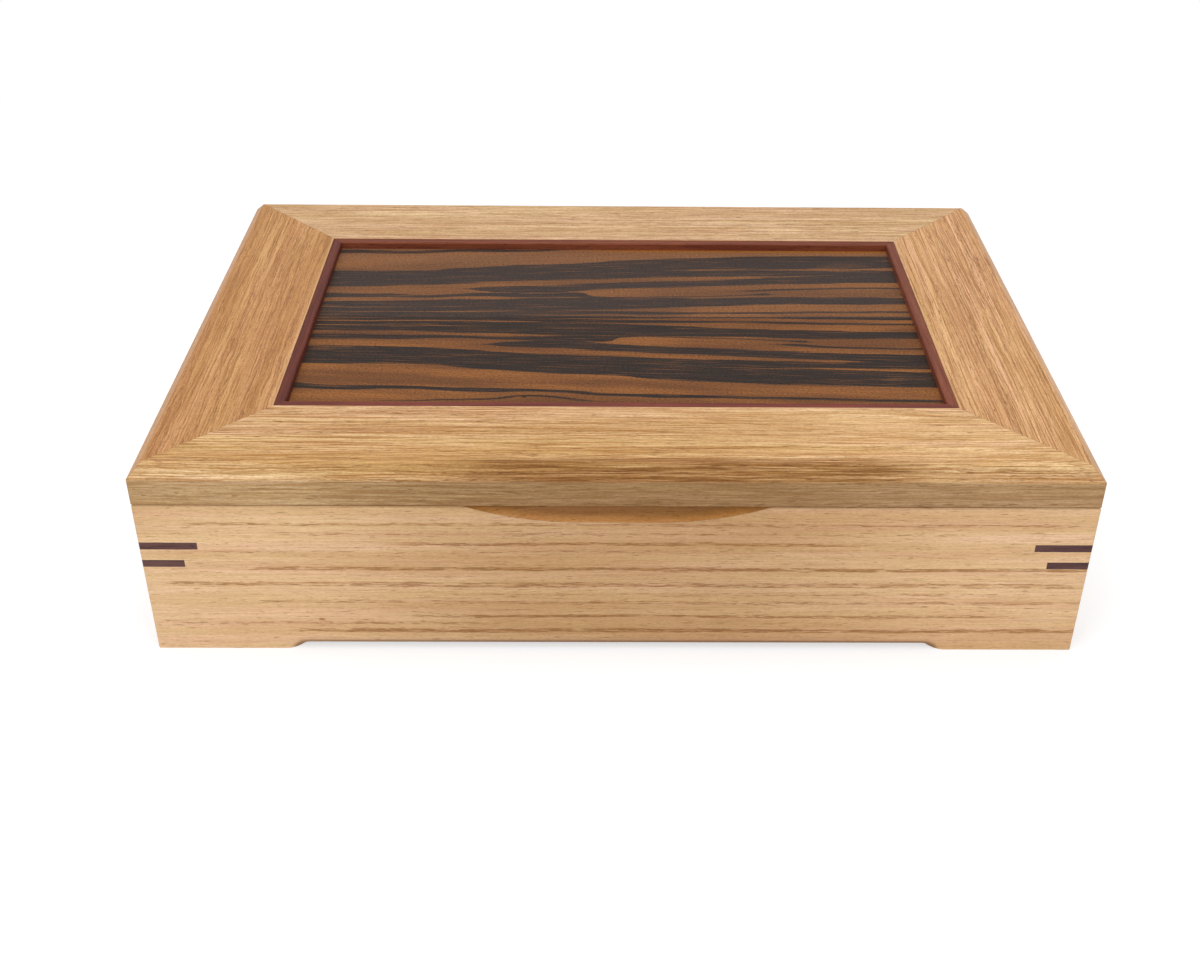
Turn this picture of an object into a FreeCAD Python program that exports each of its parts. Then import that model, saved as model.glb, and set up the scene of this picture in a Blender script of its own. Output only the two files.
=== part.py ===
import FreeCAD, Part
import math
import os
import re
import Sketcher

# Document box: a mitred oak box with an inlaid, hinged lid.
# Millimetres. +X right, +Y to the back, +Z up.
# The origin is on the table, under the middle of the whole outline, hinges included.

# Driving sizes: name, value, what it is
SIZES = [
    ("box_width", 360.0, "outside, left to right"),
    ("box_depth", 250.0, "outside, front to back, without the hinges"),
    ("body_height", 67.4, "table to the rim of the body"),
    ("wall", 12.0, "thickness of the four sides"),
    ("corner_round", 0.8, "eased radius of the upright corners"),
    ("arris", 0.5, "eased edge along rims and openings"),
    ("edge_round", 6.35, "radius of the rounding under the sides"),
    ("foot_length", 50.0, "bottom edge left square at each corner"),
    ("cutter_pilot", 3.0, "pilot radius of the cutter that runs the bottom edge"),
    ("scoop_width", 113.0, "finger scoop, along the rim"),
    ("scoop_level", 30.0, "level middle of the finger scoop"),
    ("scoop_depth", 6.8, "finger scoop, down and into the front"),
    ("base_height", 6.0, "table to the underside of the base panel"),
    ("base_thickness", 5.0, "plywood base panel"),
    ("base_groove", 5.0, "depth of the groove that holds the base"),
    ("groove_play", 0.5, "room for a panel at the bottom of its groove"),
    ("lining_thickness", 1.5, "suede-faced board on the base"),
    ("lining_play", 0.3, "gap between lining and sides"),
    ("key_thickness", 3.2, "corner keys, up and down"),
    ("key_drop", 18.1, "rim to the middle of the upper keys"),
    ("key_pitch", 8.1, "upper to lower keys"),
    ("key_leg_upper", 22.0, "upper keys, along each side from the corner"),
    ("key_leg_lower", 16.2, "lower keys, along each side from the corner"),
    ("lid_gap", 0.3, "seam between body and closed lid"),
    ("lid_thickness", 16.0, "lid frame"),
    ("rail_width", 46.0, "lid frame, outside to opening"),
    ("lid_bevel", 5.0, "bevel round the lid's top edge, in and down"),
    ("bevel_ease", 1.0, "eased radius along both sides of that bevel"),
    ("tongue_start", 12.0, "first end of a mitre tongue, in from each outer edge"),
    ("tongue_end", 33.0, "second end of a mitre tongue, in from each outer edge"),
    ("tongue_spread", 5.6, "half a tongue's width, measured along each rail"),
    ("tongue_thickness", 3.0, "mitre tongues, up and down"),
    ("panel_recess", 3.5, "top of the frame down to the face veneer"),
    ("panel_groove", 6.0, "depth of the groove that holds the panel"),
    ("core_thickness", 6.0, "panel core"),
    ("veneer_thickness", 0.7, "face veneer and backing veneer"),
    ("trim_width", 4.0, "dark trim round the opening"),
    ("trim_drop", 0.2, "trim below the top of the frame"),
    ("hinge_margin", 50.0, "side of the box to the near end of a hinge"),
    ("hinge_length", 40.0, "each hinge, along the back"),
    ("knuckle_count", 3.0, "knuckles of a hinge, an odd number"),
    ("knuckle_gap", 0.15, "gap between neighbouring knuckles"),
    ("turning_gap", 0.3, "room round a knuckle in the other leaf"),
    ("leaf_thickness", 2.5, "hinge leaf, and the radius of its knuckles"),
    ("leaf_depth", 9.0, "hinge leaf let into the wood, in from the back face"),
    ("pin_offset", 1.0, "hinge pin's axis behind the back face"),
    ("pin_radius", 1.1, "hinge pin"),
    ("pin_play", 0.05, "radial running clearance of the pin"),
    ("heel_reach", 4.0, "stop heel behind the pin's axis"),
    ("heel_height", 6.5, "stop heel above or below the pin's axis"),
    ("heel_chamfer", 0.8, "bevelled outer edge of the stop heel"),
    ("stop_angle", 48.0, "slope of each stop face, in degrees"),
    ("screw_inset", 5.0, "screws in from the back face"),
    ("screw_pitch", 24.0, "screw to screw along a leaf"),
    ("screw_radius", 1.1, "screw shank"),
    ("screw_length", 10.0, "screw, head included"),
    ("screw_head", 2.2, "radius of the countersunk head"),
    ("screw_slot", 0.6, "width of the driver slot"),
    ("screw_play", 0.05, "room round shank and head"),
]
SCREWS_PER_LEAF = 2

# Sizes that follow from the driving ones
FOLLOWING = {
    "over_cut": "1",
    "round_sink": "corner_round * (1 - sqrt(0.5))",
    "run_out": "sqrt((cutter_pilot + edge_round)^2 - cutter_pilot^2)",
    "scoop_rise": "(scoop_width - scoop_level) / 2",
    "scoop_radius": "(scoop_rise^2 + scoop_depth^2) / (2 * scoop_depth)",
    "key_upper_z": "body_height - key_drop",
    "key_lower_z": "key_upper_z - key_pitch",
    "lining_z": "base_height + base_thickness",
    "lid_z": "body_height + lid_gap",
    "opening_width": "box_width - 2 * rail_width",
    "opening_depth": "box_depth - 2 * rail_width",
    "ease_reach": "bevel_ease * tan(22.5)",
    "ease_slant": "ease_reach * sqrt(0.5)",
    "panel_top": "lid_thickness - panel_recess",
    "panel_under": "panel_top - core_thickness - 2 * veneer_thickness",
    "panel_width": "opening_width + 2 * (panel_groove - groove_play)",
    "panel_depth": "opening_depth + 2 * (panel_groove - groove_play)",
    "base_width": "box_width - 2 * (wall - base_groove + groove_play)",
    "base_depth": "box_depth - 2 * (wall - base_groove + groove_play)",
    "half_gap": "lid_gap / 2",
    "pin_z": "body_height + half_gap",
    "pin_y": "box_depth / 2 + pin_offset",
    "hinge_middle": "box_width / 2 - hinge_margin - hinge_length / 2",
    "leaf_end": "pin_offset + leaf_depth",
    "knuckle_step": "hinge_length / knuckle_count",
    "turning_radius": "leaf_thickness + turning_gap",
    "stop_z": "heel_reach * tan(stop_angle)",
    "centre_shift": "(pin_offset + heel_reach) / 2",
}

doc = FreeCAD.newDocument("document_box")
sheet = doc.addObject("Spreadsheet::Sheet", "Sizes")
for row, (alias, value, meaning) in enumerate(SIZES, start=1):
    sheet.set("A%d" % row, alias)
    sheet.set("B%d" % row, str(value))
    sheet.set("C%d" % row, meaning)
    sheet.setAlias("B%d" % row, alias)
doc.recompute()
DRIVING = {alias for alias, value, meaning in SIZES}
made = []
cuts = []


def bound(text):
    """An expression on the sheet's cells, from one written with plain size names."""
    def word(match):
        name = match.group(0)
        if name in DRIVING:
            return "Sizes." + name
        if name in FOLLOWING:
            return "(" + bound(FOLLOWING[name]) + ")"
        return name
    return re.sub(r"[a-z][a-z_]*", word, text)


def number(text):
    """The present value of such an expression."""
    return float(sheet.evalExpression(bound(text)))


class Arc:
    """The edge between its two neighbours in an outline is an arc about this centre."""
    def __init__(self, x, y, radius):
        self.centre = (x, y)
        self.radius = radius


def base_plane(body, role):
    return [item for item in body.Origin.OriginFeatures if item.Role == role][0]


def new_body(label):
    body = doc.addObject("PartDesign::Body", label)
    body.Label = label
    body.AllowCompound = True
    made.append(body)
    return body


def place(body, x="0", y="0", z="0", turn=0):
    """Puts a body at x, y, z of the box, turned about Z by a number of degrees."""
    body.Placement = FreeCAD.Placement(
        FreeCAD.Vector(), FreeCAD.Rotation(FreeCAD.Vector(0, 0, 1), turn))
    body.setExpression("Placement.Base.x", bound(x))
    body.setExpression("Placement.Base.y", bound("%s - centre_shift" % y))
    body.setExpression("Placement.Base.z", bound(z))


def fix_point(sketch, geometry, point, place_at):
    for kind, text in zip(("DistanceX", "DistanceY"), place_at):
        index = sketch.addConstraint(
            Sketcher.Constraint(kind, -1, 1, geometry, point, number(text)))
        sketch.setExpression("Constraints[%d]" % index, bound(text))


def add_arc(sketch, start, end, arc):
    """An arc of less than half a turn. Gives its number and its two ends in order."""
    centre = FreeCAD.Vector(number(arc.centre[0]), number(arc.centre[1]), 0)
    angles = []
    for point in (start, end):
        angles.append(math.atan2(number(point[1]) - centre.y, number(point[0]) - centre.x))
    forward = (angles[1] - angles[0]) % (2 * math.pi) < math.pi
    if not forward:
        angles.reverse()
    circle = Part.Circle(centre, FreeCAD.Vector(0, 0, 1), number(arc.radius))
    index = sketch.addGeometry(Part.ArcOfCircle(circle, angles[0], angles[1]))
    radius = sketch.addConstraint(Sketcher.Constraint("Radius", index, number(arc.radius)))
    sketch.setExpression("Constraints[%d]" % radius, bound(arc.radius))
    return index, ((1, 2) if forward else (2, 1))


def add_outline(sketch, outline):
    """A closed outline of points, with an Arc between two of them where it bends."""
    points = [item for item in outline if not isinstance(item, Arc)]
    bends = {}
    for item, follower in zip(outline, outline[1:] + outline[:1]):
        if isinstance(item, Arc):
            bends[points.index(follower)] = item
    edges = []
    for number_at, end in enumerate(points):
        start = points[number_at - 1]
        if number_at in bends:
            edges.append(add_arc(sketch, start, end, bends[number_at]))
            continue
        line = Part.LineSegment(
            FreeCAD.Vector(number(start[0]), number(start[1]), 0),
            FreeCAD.Vector(number(end[0]), number(end[1]), 0))
        edges.append((sketch.addGeometry(line), (1, 2)))
    for number_at, (edge, ends) in enumerate(edges):
        following, following_ends = edges[(number_at + 1) % len(edges)]
        sketch.addConstraint(
            Sketcher.Constraint("Coincident", edge, ends[1], following, following_ends[0]))
        fix_point(sketch, edge, ends[1], points[number_at])


def add_circle(sketch, x, y, radius):
    centre = FreeCAD.Vector(number(x), number(y), 0)
    circle = Part.Circle(centre, FreeCAD.Vector(0, 0, 1), number(radius))
    index = sketch.addGeometry(circle)
    fix_point(sketch, index, 3, (x, y))
    size = sketch.addConstraint(Sketcher.Constraint("Radius", index, number(radius)))
    sketch.setExpression("Constraints[%d]" % size, bound(radius))


def new_sketch(body, role, offset="0", outlines=(), circles=(), axis=None):
    """A sketch on one of the body's own planes, moved along that plane's normal."""
    sketch = body.newObject("Sketcher::SketchObject", body.Label + "_sketch")
    sketch.AttachmentSupport = [(base_plane(body, role), "")]
    sketch.MapMode = "FlatFace"
    sketch.setExpression("AttachmentOffset.Base.z", bound(offset))
    if axis:
        ends = [FreeCAD.Vector(number(x), number(y), 0) for x, y in axis]
        index = sketch.addGeometry(Part.LineSegment(ends[0], ends[1]), True)
        fix_point(sketch, index, 1, axis[0])
        fix_point(sketch, index, 2, axis[1])
    for outline in outlines:
        add_outline(sketch, list(outline))
    for circle in circles:
        add_circle(sketch, *circle)
    doc.recompute()
    return sketch


def extrude(body, kind, sketch, length, symmetric=False, turned=False):
    feature = body.newObject("PartDesign::" + kind, "%s_%s" % (body.Label, kind))
    feature.Profile = sketch
    feature.setExpression("Length", bound(length))
    feature.SideType = "Symmetric" if symmetric else "One side"
    feature.Reversed = turned
    doc.recompute()
    if kind == "Pocket":
        cuts.append(feature)
    return feature


def pad(body, sketch, length, **ways):
    return extrude(body, "Pad", sketch, length, **ways)


def pocket(body, sketch, length, **ways):
    return extrude(body, "Pocket", sketch, length, **ways)


def groove(body, sketch):
    """A full turn about the sketch's own axis line, taken out of the body."""
    feature = body.newObject("PartDesign::Groove", body.Label + "_Groove")
    feature.Profile = sketch
    feature.ReferenceAxis = (sketch, ["Axis0"])
    feature.Angle = 360
    doc.recompute()
    cuts.append(feature)
    return feature


def mirror(body, features, role):
    feature = body.newObject("PartDesign::Mirrored", body.Label + "_Mirrored")
    feature.Originals = features
    feature.MirrorPlane = (base_plane(body, role), [""])
    body.Tip = feature
    doc.recompute()
    cuts.append(feature)
    return feature


def rectangle(x_low, y_low, x_high, y_high):
    return [(x_low, y_low), (x_high, y_low), (x_high, y_high), (x_low, y_high)]


def mitred_board(label, length, width, height, rounding=True):
    """A board with both ends mitred: outer face at y = 0, inner at y = width."""
    body = new_body(label)
    half = "%s / 2" % length
    if rounding:
        outer = [
            ("corner_round - " + half, "0"),
            (half + " - corner_round", "0"),
            Arc(half + " - corner_round", "corner_round", "corner_round"),
            (half + " - round_sink", "round_sink"),
        ]
        last = [
            ("round_sink - " + half, "round_sink"),
            Arc("corner_round - " + half, "corner_round", "corner_round"),
        ]
    else:
        outer = [("-" + half, "0"), (half, "0")]
        last = []
    inner = [
        ("%s - %s" % (half, width), width),
        ("%s - %s" % (width, half), width),
    ]
    plan = new_sketch(body, "XY_Plane", outlines=[outer + inner + last])
    pad(body, plan, height)
    return body


def run_along(body, length, outlines):
    """Cuts these outlines of the board's section from one mitre to the other."""
    section = new_sketch(body, "YZ_Plane", outlines=outlines)
    pocket(body, section, "%s + 2 * over_cut" % length, symmetric=True)


def outer_arris(edge, side):
    """An eased edge on the outer face, at the height edge. side: 1 top, -1 bottom."""
    sign = "+" if side > 0 else "-"
    other = "-" if side > 0 else "+"
    return [
        ("-over_cut", "%s %s arris %s over_cut" % (edge, other, other)),
        ("arris + over_cut", "%s %s over_cut" % (edge, sign)),
        ("-over_cut", "%s %s over_cut" % (edge, sign)),
    ]


def inner_arris(width, edge, side):
    """The same on the inner face of a board of that width."""
    sign = "+" if side > 0 else "-"
    other = "-" if side > 0 else "+"
    return [
        ("%s + over_cut" % width, "%s %s arris %s over_cut" % (edge, other, other)),
        ("%s - arris - over_cut" % width, "%s %s over_cut" % (edge, sign)),
        ("%s + over_cut" % width, "%s %s over_cut" % (edge, sign)),
    ]


def cut_at_mitres(body, length, corner, z, thickness):
    """Cuts an outline, given from the right-hand corner inwards, at both mitres."""
    right = [("%s / 2 - (%s)" % (length, x), y) for x, y in corner]
    left = [("(%s) - %s / 2" % (x, length), y) for x, y in corner]
    plan = new_sketch(body, "XY_Plane", offset=z, outlines=[right, left])
    pocket(body, plan, thickness, symmetric=True)


# Where each side, rail or trim strip stands: turn, and the place of its outer face.
# A corner is named after the side whose right-hand end makes it.
SIDES = {
    "front": (0, "box_width", "0", "-box_depth / 2"),
    "right": (90, "box_depth", "box_width / 2", "0"),
    "back": (180, "box_width", "0", "box_depth / 2"),
    "left": (270, "box_depth", "-box_width / 2", "0"),
}
CORNERS = {
    "front_right": (0, "box_width / 2", "-box_depth / 2"),
    "back_right": (90, "box_width / 2", "box_depth / 2"),
    "back_left": (180, "-box_width / 2", "box_depth / 2"),
    "front_left": (270, "-box_width / 2", "-box_depth / 2"),
}
HINGES = {
    "left": "-hinge_middle",
    "right": "hinge_middle",
}


def stopped_cut(body, profile, stop, axis):
    """Cuts a section along the board from -stop to stop, and turns it about axis there."""
    straight = new_sketch(body, "YZ_Plane", outlines=[profile])
    pocket(body, straight, "2 * %s" % stop, symmetric=True)
    turned = new_sketch(body, "YZ_Plane", stop, outlines=[profile], axis=axis)
    mirror(body, [groove(body, turned)], "YZ_Plane")


# Sides of the body
def bottom_edge_round(body, length):
    """The rounding under a side. It stops short of the corners and leaves them as feet.

    The cutter's axis is square to the face and just under the board, so both ends
    run out in an arc on the face.
    """
    profile = [
        ("-over_cut", "edge_round"),
        ("0", "edge_round"),
        Arc("edge_round", "edge_round", "edge_round"),
        ("edge_round", "0"),
        ("edge_round", "-over_cut"),
        ("-over_cut", "-over_cut"),
    ]
    stop = "(%s / 2 - foot_length - run_out)" % length
    stopped_cut(body, profile, stop, [("0", "-cutter_pilot"), ("edge_round", "-cutter_pilot")])


def side(name):
    turn, length, x, y = SIDES[name]
    body = mitred_board(name + "_side", length, "wall", "body_height")
    base_slot = rectangle(
        "wall - base_groove", "base_height", "wall + over_cut", "base_height + base_thickness")
    run_along(body, length, [
        base_slot,
        outer_arris("body_height", 1),
        inner_arris("wall", "body_height", 1),
    ])
    for leg, z in (("key_leg_upper", "key_upper_z"), ("key_leg_lower", "key_lower_z")):
        notch = [
            (leg + " + over_cut", "-over_cut"),
            ("-over_cut", "-over_cut"),
            ("-over_cut", leg + " + over_cut"),
        ]
        cut_at_mitres(body, length, notch, z, "key_thickness")
    bottom_edge_round(body, length)
    place(body, x, y, "0", turn)
    return body


def finger_scoop(body):
    """A quarter-round hollow in the rim, level in the middle, that rises to both ends."""
    low = "body_height - scoop_depth"
    axis_z = low + " + scoop_radius"
    profile = [
        ("-over_cut", low),
        ("0", low),
        Arc("0", "body_height", "scoop_depth"),
        ("scoop_depth", "body_height"),
        ("scoop_depth", "body_height + over_cut"),
        ("-over_cut", "body_height + over_cut"),
    ]
    axis = [("-over_cut", axis_z), ("scoop_depth", axis_z)]
    stopped_cut(body, profile, "(scoop_level / 2)", axis)


def screw_places(hinge_x, y):
    places = []
    for place_at in range(SCREWS_PER_LEAF):
        step = place_at - (SCREWS_PER_LEAF - 1) / 2
        places.append(("%s + screw_pitch * (%g)" % (hinge_x, step), y))
    return places


def hinge_mortices(body, face, upwards):
    """Two flat recesses for the hinge leaves, with pilot holes for their screws.

    face is the height of the wood's edge, and upwards says that the wood is above it.
    """
    recesses = []
    pilots = []
    for hinge_x in HINGES.values():
        recesses.append(rectangle(
            "%s - hinge_length / 2" % hinge_x, "-over_cut",
            "%s + hinge_length / 2" % hinge_x, "leaf_depth"))
        for x, y in screw_places(hinge_x, "screw_inset"):
            pilots.append((x, y, "screw_radius + screw_play"))
    seat = new_sketch(body, "XY_Plane", offset=face, outlines=recesses)
    pocket(body, seat, "leaf_thickness", turned=upwards)
    holes = new_sketch(body, "XY_Plane", offset=face, circles=pilots)
    pocket(body, holes, "screw_length + screw_play", turned=upwards)


front_side = side("front")
finger_scoop(front_side)
back_side = side("back")
hinge_mortices(back_side, "body_height", False)
side("left")
side("right")


# Corner keys, flush with the faces
def corner_key(name, level, leg, z):
    turn, x, y = CORNERS[name]
    body = new_body("corner_key_%s_%s" % (name, level))
    plan = new_sketch(body, "XY_Plane", outlines=[[
        ("-corner_round", "0"),
        Arc("-corner_round", "corner_round", "corner_round"),
        ("0", "corner_round"),
        ("0", leg),
        ("-" + leg, "0"),
    ]])
    pad(body, plan, "key_thickness", symmetric=True)
    place(body, x, y, z, turn)


for corner in CORNERS:
    corner_key(corner, "upper", "key_leg_upper", "key_upper_z")
    corner_key(corner, "lower", "key_leg_lower", "key_lower_z")


# Flat panels
def flat_panel(label, width, depth, thickness, z):
    body = new_body(label)
    plan = new_sketch(body, "XY_Plane", outlines=[rectangle(
        "-%s / 2" % width, "-%s / 2" % depth, "%s / 2" % width, "%s / 2" % depth)])
    pad(body, plan, thickness)
    place(body, z=z)


flat_panel("base_panel", "base_width", "base_depth", "base_thickness", "base_height")
flat_panel(
    "base_lining",
    "(box_width - 2 * (wall + lining_play))",
    "(box_depth - 2 * (wall + lining_play))",
    "lining_thickness",
    "lining_z")
flat_panel(
    "lid_panel_backing", "panel_width", "panel_depth", "veneer_thickness",
    "lid_z + panel_under")
flat_panel(
    "lid_panel_core", "panel_width", "panel_depth", "core_thickness",
    "lid_z + panel_under + veneer_thickness")
flat_panel(
    "lid_panel_veneer", "panel_width", "panel_depth", "veneer_thickness",
    "lid_z + panel_top - veneer_thickness")


# Lid frame
def lid_rail(name):
    turn, length, x, y = SIDES[name]
    body = mitred_board("lid_%s_rail" % name, length, "rail_width", "lid_thickness")
    shoulder = "lid_thickness - lid_bevel - ease_reach"
    inner_edge = "lid_bevel + ease_reach"
    top_bevel = [
        ("-over_cut", shoulder),
        ("0", shoulder),
        Arc("bevel_ease", shoulder, "bevel_ease"),
        ("ease_slant", "lid_thickness - lid_bevel + ease_slant"),
        ("lid_bevel - ease_slant", "lid_thickness - ease_slant"),
        Arc(inner_edge, "lid_thickness - bevel_ease", "bevel_ease"),
        (inner_edge, "lid_thickness"),
        (inner_edge, "lid_thickness + over_cut"),
        ("-over_cut", "lid_thickness + over_cut"),
    ]
    panel_slot = rectangle(
        "rail_width - panel_groove", "panel_under", "rail_width + over_cut", "panel_top")
    run_along(body, length, [
        top_bevel,
        panel_slot,
        outer_arris("0", -1),
        inner_arris("rail_width", "0", -1),
    ])
    tongue_slot = [
        ("tongue_start + tongue_spread", "tongue_start - tongue_spread"),
        ("tongue_start - tongue_spread", "tongue_start + tongue_spread"),
        ("tongue_end - tongue_spread", "tongue_end + tongue_spread"),
        ("tongue_end + tongue_spread", "tongue_end - tongue_spread"),
    ]
    cut_at_mitres(body, length, tongue_slot, "lid_thickness / 2", "tongue_thickness")
    place(body, x, y, "lid_z", turn)
    return body


for rail_name in SIDES:
    rail = lid_rail(rail_name)
    if rail_name == "back":
        hinge_mortices(rail, "0", True)


def mitre_tongue(name):
    """A loose tongue across a mitre of the frame, out of sight."""
    turn, x, y = CORNERS[name]
    body = new_body("mitre_tongue_" + name)
    plan = new_sketch(body, "XY_Plane", outlines=[[
        ("-tongue_start - tongue_spread", "tongue_start - tongue_spread"),
        ("-tongue_start + tongue_spread", "tongue_start + tongue_spread"),
        ("-tongue_end + tongue_spread", "tongue_end + tongue_spread"),
        ("-tongue_end - tongue_spread", "tongue_end - tongue_spread"),
    ]])
    pad(body, plan, "tongue_thickness", symmetric=True)
    place(body, x, y, "lid_z + lid_thickness / 2", turn)


for corner in CORNERS:
    mitre_tongue(corner)

# Trim strips, mitred round the opening on top of the face veneer
TRIM_PLACES = {
    "front": ("opening_width", "0", "-opening_depth / 2"),
    "right": ("opening_depth", "opening_width / 2", "0"),
    "back": ("opening_width", "0", "opening_depth / 2"),
    "left": ("opening_depth", "-opening_width / 2", "0"),
}


def trim_strip(name):
    length, x, y = TRIM_PLACES[name]
    height = "(panel_recess - trim_drop)"
    body = mitred_board("lid_trim_" + name, length, "trim_width", height, rounding=False)
    run_along(body, length, [inner_arris("trim_width", height, 1)])
    place(body, x, y, "lid_z + panel_top", SIDES[name][0])


for strip in TRIM_PLACES:
    trim_strip(strip)


# Stop hinges. Their own frame has the pin's axis as X, and +Y runs into the box.
def knuckle_places(first):
    """The middles of every second knuckle along the pin, from knuckle number first."""
    count = int(number("knuckle_count"))
    return ["knuckle_step * (%g)" % (place_at - (count - 1) / 2)
            for place_at in range(first, count, 2)]


def hinge_leaf(name, part_name, side_sign, first_of_other):
    """A leaf with its knuckles and stop heel. side_sign: -1 in the body, 1 in the lid."""
    body = new_body("hinge_%s_%s_leaf" % (name, part_name))
    sign = "-" if side_sign < 0 else ""
    flip = "(%s1)" % sign
    outline = [
        ("leaf_end", flip + " * half_gap"),
        ("leaf_end", flip + " * (half_gap + leaf_thickness)"),
        ("pin_offset", flip + " * (half_gap + leaf_thickness)"),
        ("pin_offset", flip + " * heel_height"),
        ("heel_chamfer - heel_reach", flip + " * heel_height"),
        ("-heel_reach", flip + " * (heel_height - heel_chamfer)"),
        ("-heel_reach", flip + " * stop_z"),
        ("-leaf_thickness * cos(stop_angle)", flip + " * leaf_thickness * sin(stop_angle)"),
        Arc("0", "0", "leaf_thickness"),
        ("0", flip + " * -leaf_thickness"),
        Arc("0", "0", "leaf_thickness"),
        ("sqrt(leaf_thickness^2 - half_gap^2)", flip + " * half_gap"),
    ]
    section = new_sketch(body, "YZ_Plane", outlines=[outline])
    pad(body, section, "hinge_length", symmetric=True)
    for middle in knuckle_places(first_of_other):
        room = new_sketch(
            body, "YZ_Plane", offset=middle, circles=[("0", "0", "turning_radius")])
        pocket(body, room, "knuckle_step + knuckle_gap", symmetric=True)
    bore = new_sketch(body, "YZ_Plane", circles=[("0", "0", "pin_radius + pin_play")])
    pocket(body, bore, "hinge_length + 2 * over_cut", symmetric=True)
    screw_circles = []
    for x, y in screw_places("0", "pin_offset + screw_inset"):
        screw_circles.append((x, y, "screw_radius + screw_play"))
    face = flip + " * half_gap"
    centres = new_sketch(body, "XY_Plane", offset=face, circles=screw_circles)
    holes = body.newObject("PartDesign::Hole", body.Label + "_Hole")
    holes.Profile = centres
    holes.DepthType = "Dimension"
    holes.Threaded = False
    holes.Reversed = side_sign > 0
    holes.setExpression("Diameter", bound("2 * (screw_radius + screw_play)"))
    holes.setExpression("Depth", bound("leaf_thickness + over_cut"))
    holes.DrillPoint = "Flat"
    holes.HoleCutType = "Countersink"
    holes.setExpression("HoleCutDiameter", bound("2 * (screw_head + screw_play)"))
    holes.HoleCutCountersinkAngle = 90
    doc.recompute()
    cuts.append(holes)
    place(body, HINGES[name], "pin_y", "pin_z", 180)


def hinge_pin(name):
    body = new_body("hinge_%s_pin" % name)
    section = new_sketch(body, "YZ_Plane", circles=[("0", "0", "pin_radius")])
    pad(body, section, "hinge_length", symmetric=True)
    place(body, HINGES[name], "pin_y", "pin_z", 180)


def hinge_screws(name, part_name, side_sign):
    """Countersunk screws of one leaf, heads flush with its face."""
    body = new_body("hinge_%s_%s_screws" % (name, part_name))
    flip = "(%d)" % side_sign
    inset = "pin_offset + screw_inset"
    profile = [
        (inset, flip + " * half_gap"),
        (inset + " + screw_head", flip + " * half_gap"),
        (inset + " + screw_radius", flip + " * (half_gap + screw_head - screw_radius)"),
        (inset + " + screw_radius", flip + " * (half_gap + screw_length)"),
        (inset, flip + " * (half_gap + screw_length)"),
    ]
    axis = [(inset, "0"), (inset, flip + " * screw_length")]
    first = screw_places("0", inset)[0][0]
    half_section = new_sketch(body, "YZ_Plane", offset=first, outlines=[profile], axis=axis)
    turned = body.newObject("PartDesign::Revolution", body.Label + "_Revolution")
    turned.Profile = half_section
    turned.ReferenceAxis = (half_section, ["Axis0"])
    turned.Angle = 360
    doc.recompute()
    slot = new_sketch(body, "XY_Plane", offset=flip + " * half_gap", outlines=[rectangle(
        first + " - screw_head - over_cut", inset + " - screw_slot / 2",
        first + " + screw_head + over_cut", inset + " + screw_slot / 2")])
    slot_cut = pocket(body, slot, "screw_slot", turned=side_sign > 0)
    row = body.newObject("PartDesign::LinearPattern", body.Label + "_LinearPattern")
    row.Originals = [turned, slot_cut]
    row.Direction = (base_plane(body, "X_Axis"), [""])
    row.Mode = "Extent"
    row.setExpression("Length", bound("screw_pitch * %d" % (SCREWS_PER_LEAF - 1)))
    row.Occurrences = SCREWS_PER_LEAF
    body.Tip = row
    doc.recompute()
    place(body, HINGES[name], "pin_y", "pin_z", 180)


for hinge in HINGES:
    hinge_leaf(hinge, "body", -1, 1)
    hinge_leaf(hinge, "lid", 1, 0)
    hinge_pin(hinge)
    hinge_screws(hinge, "body", -1)
    hinge_screws(hinge, "lid", 1)


# Checks, then one file for each piece
doc.recompute()
for item in doc.Objects:
    if "Invalid" in item.State or "Error" in item.State:
        raise RuntimeError("%s failed: %s" % (item.Label, item.State))
for feature in cuts:
    before = feature.BaseFeature.Shape.Volume
    if before - feature.Shape.Volume < 0.001:
        raise RuntimeError(feature.Label + " takes nothing away")
os.makedirs("parts", exist_ok=True)
for body in made:
    shape = body.Shape
    if shape.isNull() or not shape.isValid() or not shape.Solids:
        raise RuntimeError(body.Label + " has no valid solid")
    shape.exportStep("parts/%s.step" % body.Label)
    print("%-34s %d solid(s), %10.1f mm3" % (body.Label, len(shape.Solids), shape.Volume))
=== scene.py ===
import math

import bpy
from mathutils import Matrix, Vector

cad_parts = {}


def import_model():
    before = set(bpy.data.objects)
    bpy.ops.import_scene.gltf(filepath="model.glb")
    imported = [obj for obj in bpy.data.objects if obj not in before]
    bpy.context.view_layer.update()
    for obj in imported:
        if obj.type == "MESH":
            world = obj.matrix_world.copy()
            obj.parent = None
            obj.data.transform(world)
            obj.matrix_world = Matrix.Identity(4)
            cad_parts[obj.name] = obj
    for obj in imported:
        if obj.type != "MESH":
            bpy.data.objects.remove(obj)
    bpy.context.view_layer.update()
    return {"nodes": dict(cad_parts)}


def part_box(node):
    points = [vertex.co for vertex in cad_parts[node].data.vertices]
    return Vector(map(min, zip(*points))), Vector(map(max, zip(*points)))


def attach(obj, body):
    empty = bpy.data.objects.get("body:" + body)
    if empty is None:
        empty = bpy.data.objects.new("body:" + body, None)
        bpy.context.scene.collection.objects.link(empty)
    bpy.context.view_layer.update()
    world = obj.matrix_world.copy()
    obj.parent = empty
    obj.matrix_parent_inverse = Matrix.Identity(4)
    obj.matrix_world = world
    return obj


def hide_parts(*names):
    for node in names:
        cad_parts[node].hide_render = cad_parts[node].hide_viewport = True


# Document box: finishes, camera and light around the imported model.
# The frame is in metres. Sizes that belong to a pattern in a material are in millimetres.
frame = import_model()
NODES = frame["nodes"]

MM = 0.001

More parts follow.
